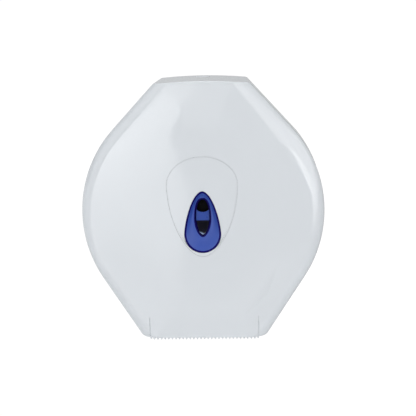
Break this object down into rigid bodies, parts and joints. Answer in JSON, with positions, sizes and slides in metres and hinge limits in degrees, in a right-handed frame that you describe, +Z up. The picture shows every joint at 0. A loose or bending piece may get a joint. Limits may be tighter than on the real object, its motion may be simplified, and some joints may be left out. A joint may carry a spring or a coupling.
{
  "type": "jumbo toilet roll dispenser",
  "caption": "Wall dispenser for a jumbo toilet roll: round white cover hinged at its lower edge, blue teardrop window, top cam lock, turning roll hub and toothed tear strip",
  "frame": {"origin": "On the wall, at the axis of the roll spindle, which is the middle of the four wall screws", "axes": "+Z up, -Y out of the wall to the front, +X to the right as seen from the front"},
  "size_m": [0.341, 0.132, 0.3675],
  "materials": {
    "white_shell": "gloss",
    "plate_plastic": "matt",
    "black_plastic": "satin",
    "window_blue": "translucent gloss",
    "steel": "satin",
    "lock_metal": "polished"
  },
  "bodies": {
    "base": {"back_plate": "plate_plastic", "spindle": "black_plastic", "spindle_screws": "steel", "hub_washer": "steel", "hub_screw": "steel", "keeper": "steel", "keeper_screws": "steel", "hinge_pins": "steel"},
    "hub": {"hub": "black_plastic", "hub_cap": "black_plastic"},
    "cover": {"cover": "white_shell", "window_panel": "white_shell", "panel_screws": "steel", "window_lens": "window_blue", "lens_retainer": "plate_plastic", "lens_screws": "steel", "tear_strip": "white_shell", "tear_strip_screws": "steel", "lock_body": "lock_metal", "lock_nut": "lock_metal"},
    "lock_rotor": {"lock_plug": "lock_metal", "lock_cam": "steel", "lock_cam_washer": "steel", "lock_cam_screw": "steel"}
  },
  "joints": [
    {"name": "cover_hinge", "type": "hinge", "parent": "base", "child": "cover", "pos_m": [0, -0.014, -0.1805], "axis": [1, 0, 0], "range_deg": [0, 88]},
    {"name": "hub_spin", "type": "hinge", "parent": "base", "child": "hub", "pos_m": [0, 0, 0], "axis": [0, 1, 0], "continuous": true},
    {"name": "lock_turn", "type": "hinge", "parent": "cover", "child": "lock_rotor", "pos_m": [0, -0.03, 0.152], "axis": [0, 0, -1], "range_deg": [0, 90]}
  ]
}
